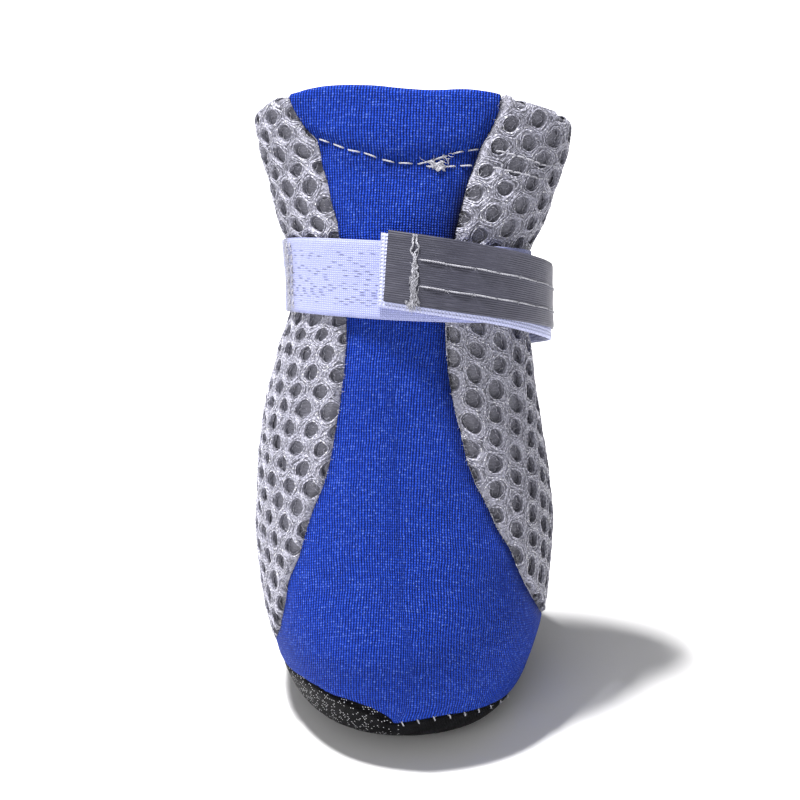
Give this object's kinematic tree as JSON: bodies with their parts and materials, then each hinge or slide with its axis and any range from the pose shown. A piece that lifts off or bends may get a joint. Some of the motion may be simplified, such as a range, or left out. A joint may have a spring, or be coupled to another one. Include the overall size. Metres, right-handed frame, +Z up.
{
  "type": "dog boot",
  "caption": "Soft dog boot: knit front panel and air-mesh sides on a turned-up soft sole, with a hook-and-loop ankle strap and an open collar.",
  "frame": {"origin": "on the ground under the middle of the sole, on the flat of the bar that crosses it", "axes": "+Z up; -Y towards the toe; +X to the right as seen from in front of the toe"},
  "size_m": [0.0626, 0.0714, 0.1244],
  "materials": {
    "blue_knit": "fine vertical rib knit over thin foam, soft sheen",
    "air_mesh": "silver-grey spacer mesh with round holes",
    "black_sole": "matte black rubberised cloth with small specks",
    "insole_lining": "plain grey lining cloth",
    "loop_tape": "white woven loop tape",
    "hook_tape": "white hook tape",
    "reflective_grey": "grey reflective tape with fine ribs",
    "thread": "pale polyester sewing thread"
  },
  "bodies": {
    "root": {"upper": "blue_knit", "sole": "black_sole", "insole": "insole_lining", "strap_loop_tape": "loop_tape", "strap_hook_tape": "hook_tape", "reflective_strip": "reflective_grey"}
  },
  "joints": []
}
